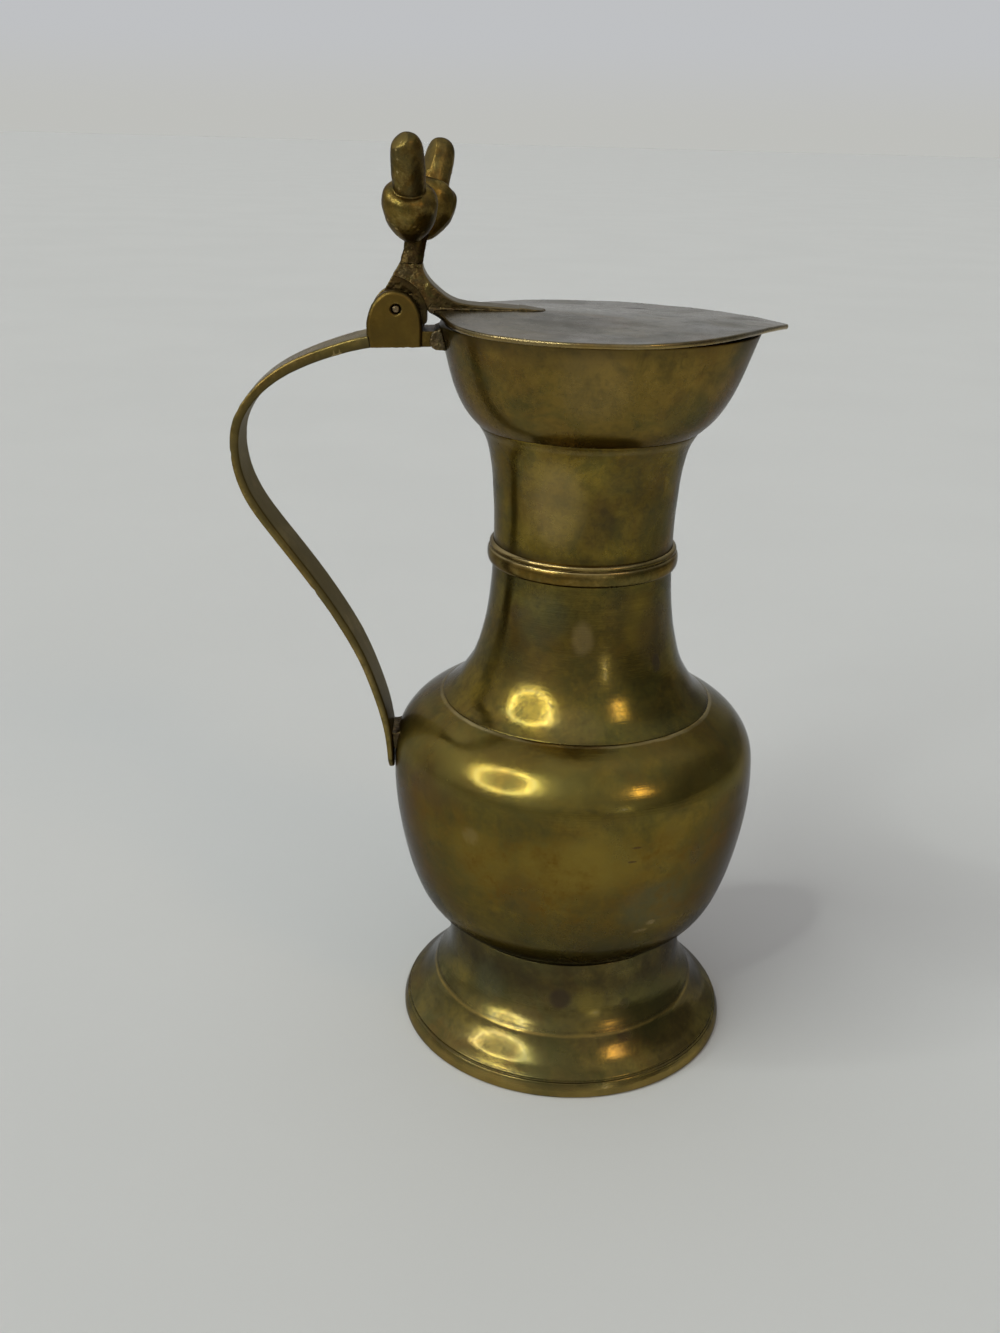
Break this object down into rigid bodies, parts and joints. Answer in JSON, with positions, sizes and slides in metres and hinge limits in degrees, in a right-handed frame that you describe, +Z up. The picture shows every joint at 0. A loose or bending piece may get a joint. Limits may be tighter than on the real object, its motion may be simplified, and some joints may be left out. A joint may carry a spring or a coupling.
{
  "type": "lidded ewer",
  "caption": "Brass ewer on a flared foot, with a strap handle, a pointed lid hinged over the mouth and a pair of acorns as thumbpiece.",
  "frame": {"origin": "centre of the foot's resting plane, on the axis of the vessel", "axes": "+Z up along the axis of the vessel, +X towards the pouring lip and the point of the lid, +Y along the hinge pin"},
  "size_m": [0.1394, 0.0986, 0.2415],
  "materials": {
    "body_brass": "aged, satin",
    "ring_brass": "aged, satin",
    "handle_brass": "aged, satin",
    "pin_brass": "worn",
    "lid_brass": "aged, satin",
    "cast_brass": "rough cast",
    "acorn_brass": "cast and polished",
    "solder": "dull"
  },
  "bodies": {
    "vessel": {"foot": "body_brass", "foot_solder": "solder", "belly": "body_brass", "shoulder": "body_brass", "neck_ring": "ring_brass", "neck_upper": "body_brass", "mouth_bowl": "body_brass", "handle_strap": "handle_brass", "hinge_fork": "handle_brass", "rim_solder": "solder", "handle_solder": "solder", "hinge_pin": "pin_brass"},
    "lid": {"lid_plate": "lid_brass", "lid_strap": "cast_brass", "lid_solder": "solder", "thumb_stem": "cast_brass", "acorn_near": "acorn_brass", "acorn_far": "acorn_brass"}
  },
  "joints": [
    {"name": "lid_hinge", "type": "hinge", "parent": "vessel", "child": "lid", "pos_m": [-0.0485, 0, 0.2014], "axis": [0, -1, 0], "range_deg": [0, 100]}
  ]
}
